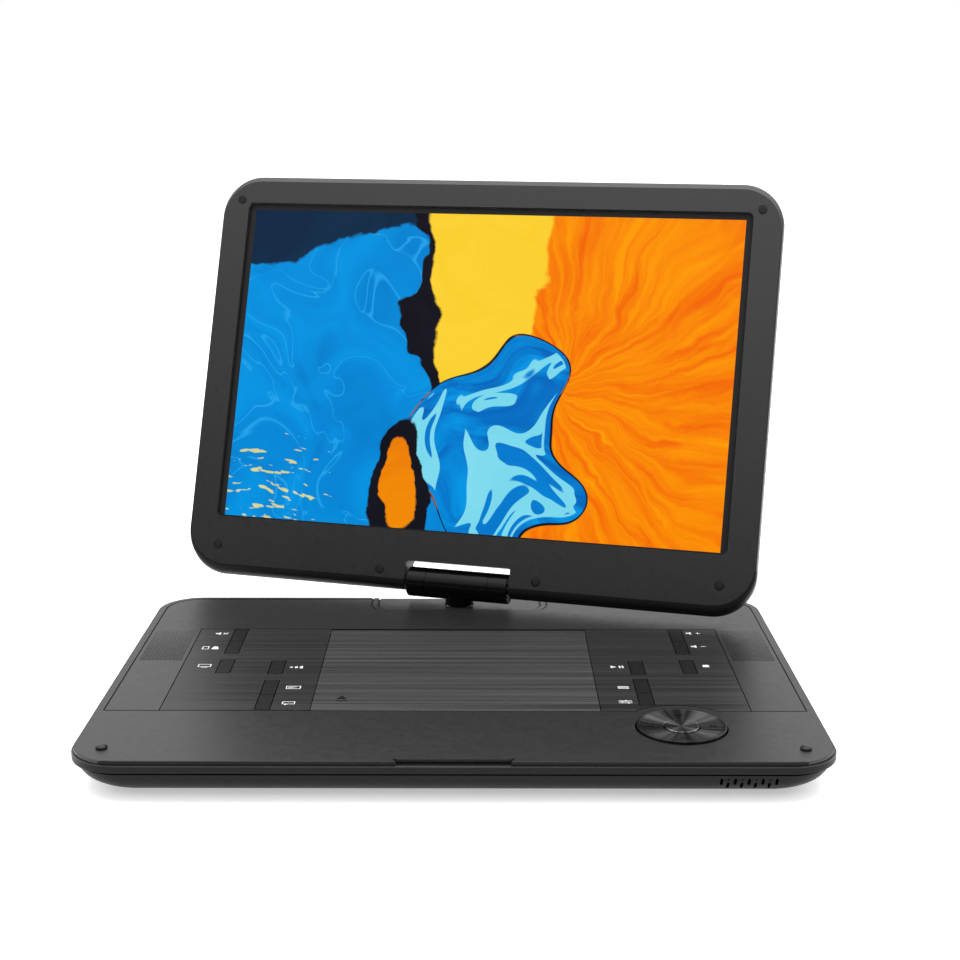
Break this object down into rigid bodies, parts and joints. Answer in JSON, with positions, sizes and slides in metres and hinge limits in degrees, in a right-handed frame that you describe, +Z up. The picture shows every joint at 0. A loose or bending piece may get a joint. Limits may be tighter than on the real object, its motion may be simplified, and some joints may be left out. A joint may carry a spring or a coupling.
{
  "type": "portable dvd player",
  "caption": "Portable disc player: low base with a disc well under a hinged door, side key panels and a control ring, and a wide screen that swivels and tilts.",
  "frame": {"origin": "centre of the base tray's flat underside; the four feet reach 2 mm below it", "axes": "+X to the viewer's right, +Y to the back of the base, +Z up"},
  "size_m": [0.3942, 0.3973, 0.2868],
  "materials": {
    "shell": "fine satin charcoal moulding",
    "door_brushed": "dark anodised, brushed across",
    "panel_brushed": "near black, brushed across",
    "key_plastic": "satin black",
    "gloss_black": "polished black",
    "black_plastic": "textured black",
    "rubber": "matt",
    "steel": "ground",
    "spun_metal": "spun, dark anodised",
    "circuit_board": "solder mask",
    "cell_wrap": "shrink wrap",
    "display": "lit picture behind clear glass"
  },
  "bodies": {
    "base": {"base_tray": "shell", "top_cover": "shell", "key_panel_left": "panel_brushed", "key_panel_right": "panel_brushed", "speaker_grille_left": "shell", "speaker_grille_right": "shell", "speaker_left": "black_plastic", "speaker_right": "black_plastic", "main_board": "circuit_board", "key_board_left": "circuit_board", "key_board_right": "circuit_board", "battery_pack": "cell_wrap", "disc_well": "black_plastic", "spindle_motor": "steel", "guide_rod_left": "steel", "guide_rod_right": "steel", "sled_motor": "steel", "foot_front_left": "rubber", "foot_front_right": "rubber", "foot_rear_left": "rubber", "foot_rear_right": "rubber", "deck_bumper_left": "rubber", "deck_bumper_right": "rubber", "swivel_socket": "steel", "dc_jack": "black_plastic", "av_jack": "black_plastic", "headphone_jack": "black_plastic", "usb_port": "steel", "door_pin_left": "steel", "door_pin_right": "steel"},
    "disc_door": {"disc_door": "door_brushed"},
    "latch_plunger": {"latch_plunger": "black_plastic"},
    "key_mute": {"key_mute": "key_plastic"},
    "key_source": {"key_source": "key_plastic"},
    "key_picture": {"key_picture": "key_plastic"},
    "key_mode": {"key_mode": "key_plastic"},
    "key_display": {"key_display": "key_plastic"},
    "key_language": {"key_language": "key_plastic"},
    "key_volume_up": {"key_volume_up": "key_plastic"},
    "key_volume_down": {"key_volume_down": "key_plastic"},
    "key_stop": {"key_stop": "key_plastic"},
    "key_play": {"key_play": "key_plastic"},
    "key_menu": {"key_menu": "key_plastic"},
    "key_setup": {"key_setup": "key_plastic"},
    "nav_pivot": {"nav_pivot": "black_plastic"},
    "nav_ring": {"nav_ring": "spun_metal"},
    "nav_ok_key": {"nav_ok_key": "spun_metal"},
    "power_switch": {"power_switch": "key_plastic"},
    "spindle_hub": {"spindle_hub": "black_plastic"},
    "pickup_sled": {"pickup_sled": "black_plastic"},
    "lead_screw": {"lead_screw": "steel"},
    "swivel": {"swivel_shaft": "gloss_black", "hinge_barrel": "gloss_black"},
    "lid": {"lid_back": "shell", "lid_bezel": "shell", "lcd_panel": "display", "lid_board": "circuit_board", "tilt_pin_left": "steel", "tilt_pin_right": "steel"}
  },
  "joints": [
    {"name": "disc_door", "type": "hinge", "parent": "base", "child": "disc_door", "pos_m": [0, 0.0672, 0.0188], "axis": [1, 0, 0], "range_deg": [-65, 0]},
    {"name": "hinge_swivel", "type": "hinge", "parent": "base", "child": "swivel", "pos_m": [0, 0.1258, 0.021], "axis": [0, 0, 1], "range_deg": [-163.5, 106.5]},
    {"name": "hinge_tilt", "type": "hinge", "parent": "swivel", "child": "lid", "pos_m": [0, 0.1258, 0.0325], "axis": [-0.9588, 0.284, 0], "range_deg": [-108.4, 71.6]},
    {"name": "key_mute", "type": "slide", "parent": "base", "child": "key_mute", "axis": [0, 0, 1], "range_m": [-0.0005, 0], "stiffness_N_per_m": 250},
    {"name": "key_source", "type": "slide", "parent": "base", "child": "key_source", "axis": [0, 0, 1], "range_m": [-0.0005, 0], "stiffness_N_per_m": 250},
    {"name": "key_picture", "type": "slide", "parent": "base", "child": "key_picture", "axis": [0, 0, 1], "range_m": [-0.0005, 0], "stiffness_N_per_m": 250},
    {"name": "key_mode", "type": "slide", "parent": "base", "child": "key_mode", "axis": [0, 0, 1], "range_m": [-0.0005, 0], "stiffness_N_per_m": 250},
    {"name": "key_display", "type": "slide", "parent": "base", "child": "key_display", "axis": [0, 0, 1], "range_m": [-0.0005, 0], "stiffness_N_per_m": 250},
    {"name": "key_language", "type": "slide", "parent": "base", "child": "key_language", "axis": [0, 0, 1], "range_m": [-0.0005, 0], "stiffness_N_per_m": 250},
    {"name": "key_volume_up", "type": "slide", "parent": "base", "child": "key_volume_up", "axis": [0, 0, 1], "range_m": [-0.0005, 0], "stiffness_N_per_m": 250},
    {"name": "key_volume_down", "type": "slide", "parent": "base", "child": "key_volume_down", "axis": [0, 0, 1], "range_m": [-0.0005, 0], "stiffness_N_per_m": 250},
    {"name": "key_stop", "type": "slide", "parent": "base", "child": "key_stop", "axis": [0, 0, 1], "range_m": [-0.0005, 0], "stiffness_N_per_m": 250},
    {"name": "key_play", "type": "slide", "parent": "base", "child": "key_play", "axis": [0, 0, 1], "range_m": [-0.0005, 0], "stiffness_N_per_m": 250},
    {"name": "key_menu", "type": "slide", "parent": "base", "child": "key_menu", "axis": [0, 0, 1], "range_m": [-0.0005, 0], "stiffness_N_per_m": 250},
    {"name": "key_setup", "type": "slide", "parent": "base", "child": "key_setup", "axis": [0, 0, 1], "range_m": [-0.0005, 0], "stiffness_N_per_m": 250},
    {"name": "latch_plunger", "type": "slide", "parent": "base", "child": "latch_plunger", "axis": [0, 0, 1], "range_m": [-0.0015, 0], "stiffness_N_per_m": 300},
    {"name": "nav_ok_key", "type": "slide", "parent": "base", "child": "nav_ok_key", "axis": [0, 0, 1], "range_m": [-0.0005, 0], "stiffness_N_per_m": 250},
    {"name": "nav_tilt_x", "type": "hinge", "parent": "base", "child": "nav_pivot", "pos_m": [0.1167, -0.0905, 0.0168], "axis": [1, 0, 0], "range_deg": [-2.5, 2.5], "stiffness_Nm_per_rad": 0.5},
    {"name": "nav_tilt_y", "type": "hinge", "parent": "nav_pivot", "child": "nav_ring", "pos_m": [0.1167, -0.0905, 0.0168], "axis": [0, 1, 0], "range_deg": [-2.5, 2.5], "stiffness_Nm_per_rad": 0.5},
    {"name": "pickup_slide", "type": "slide", "parent": "base", "child": "pickup_sled", "axis": [0, -1, 0], "range_m": [0, 0.033]},
    {"name": "pickup_screw", "type": "hinge", "parent": "base", "child": "lead_screw", "pos_m": [0.025, -0.03, 0.007], "axis": [0, 1, 0], "range_deg": [0, 3960]},
    {"name": "power_switch", "type": "slide", "parent": "base", "child": "power_switch", "axis": [1, 0, 0], "range_m": [0, 0.004]},
    {"name": "spindle_spin", "type": "hinge", "parent": "base", "child": "spindle_hub", "pos_m": [0, -0.002, 0.01], "axis": [0, 0, 1], "continuous": true}
  ],
  "couplings": [
    {"joint": "pickup_screw", "follows": "pickup_slide", "rad_per_m": 2094.4}
  ]
}
